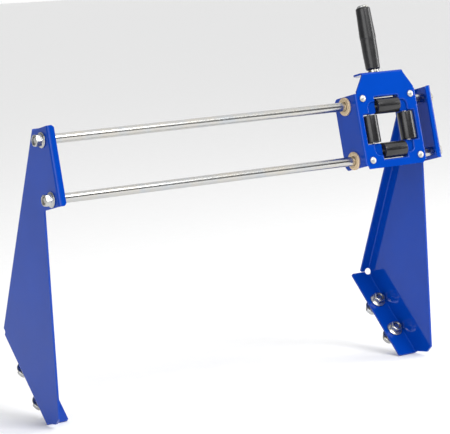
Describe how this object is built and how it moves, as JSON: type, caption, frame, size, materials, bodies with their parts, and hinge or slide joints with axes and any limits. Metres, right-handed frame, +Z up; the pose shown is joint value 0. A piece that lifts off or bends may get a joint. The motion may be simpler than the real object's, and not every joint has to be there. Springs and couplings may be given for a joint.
{
  "type": "sliding hose guide",
  "caption": "Level-wind hose guide: bent-steel brackets hold two rods, on which a carriage with a four-sided roller window and a turning hand grip slides.",
  "frame": {"origin": "midway between the two brackets, in the plane of the legs' front edges, at the height of the leg tips", "axes": "+X along the guide rods, from the left bracket to the right one; +Y to the rear, towards the reel; +Z up"},
  "size_m": [0.636, 0.1963, 0.5111],
  "materials": {
    "blue_powder_coat": "gloss",
    "bright_zinc": "bright zinc plate",
    "oiled_bronze": "sintered, oil-filled",
    "black_plastic": "gloss"
  },
  "bodies": {
    "base": {"left_bracket": "blue_powder_coat", "right_bracket": "blue_powder_coat", "upper_rod": "bright_zinc", "lower_rod": "bright_zinc", "upper_left_nut": "bright_zinc", "upper_right_nut": "bright_zinc", "lower_left_nut": "bright_zinc", "lower_right_nut": "bright_zinc", "left_foot_nut_rear": "bright_zinc", "left_foot_nut_front": "bright_zinc", "right_foot_nut_rear": "bright_zinc", "right_foot_nut_front": "bright_zinc", "left_foot_bolt_rear": "bright_zinc", "left_foot_bolt_front": "bright_zinc", "right_foot_bolt_rear": "bright_zinc", "right_foot_bolt_front": "bright_zinc"},
    "carriage": {"carriage_frame": "blue_powder_coat", "roller_frame": "blue_powder_coat", "top_roller_axle": "bright_zinc", "bottom_roller_axle": "bright_zinc", "left_roller_axle": "bright_zinc", "right_roller_axle": "bright_zinc", "rivet_top_left": "bright_zinc", "rivet_top_right": "bright_zinc", "rivet_bottom_left": "bright_zinc", "rivet_bottom_right": "bright_zinc", "upper_left_bushing": "oiled_bronze", "upper_right_bushing": "oiled_bronze", "lower_left_bushing": "oiled_bronze", "lower_right_bushing": "oiled_bronze", "handle_collar": "bright_zinc", "handle_stud": "bright_zinc", "handle_nut": "bright_zinc"},
    "top_roller_body": {"top_roller": "black_plastic"},
    "bottom_roller_body": {"bottom_roller": "black_plastic"},
    "left_roller_body": {"left_roller": "black_plastic"},
    "right_roller_body": {"right_roller": "black_plastic"},
    "grip_body": {"handle_grip": "black_plastic"}
  },
  "joints": [
    {"name": "carriage_slide", "type": "slide", "parent": "base", "child": "carriage", "axis": [1, 0, 0], "range_m": [-0.464, 0.0225]},
    {"name": "top_roller_spin", "type": "hinge", "parent": "carriage", "child": "top_roller_body", "pos_m": [0.2209, -0.02895, 0.37152], "axis": [1, 0, 0], "continuous": true},
    {"name": "bottom_roller_spin", "type": "hinge", "parent": "carriage", "child": "bottom_roller_body", "pos_m": [0.2209, -0.0412, 0.31074], "axis": [1, 0, 0], "continuous": true},
    {"name": "left_roller_spin", "type": "hinge", "parent": "carriage", "child": "left_roller_body", "pos_m": [0.1899, -0.03507, 0.34113], "axis": [0, 0.1977, 0.9803], "continuous": true},
    {"name": "right_roller_spin", "type": "hinge", "parent": "carriage", "child": "right_roller_body", "pos_m": [0.2519, -0.03507, 0.34113], "axis": [0, 0.1977, 0.9803], "continuous": true},
    {"name": "grip_spin", "type": "hinge", "parent": "carriage", "child": "grip_body", "pos_m": [0.2209, -0.00617, 0.41569], "axis": [0, 0.1977, 0.9803], "continuous": true}
  ]
}
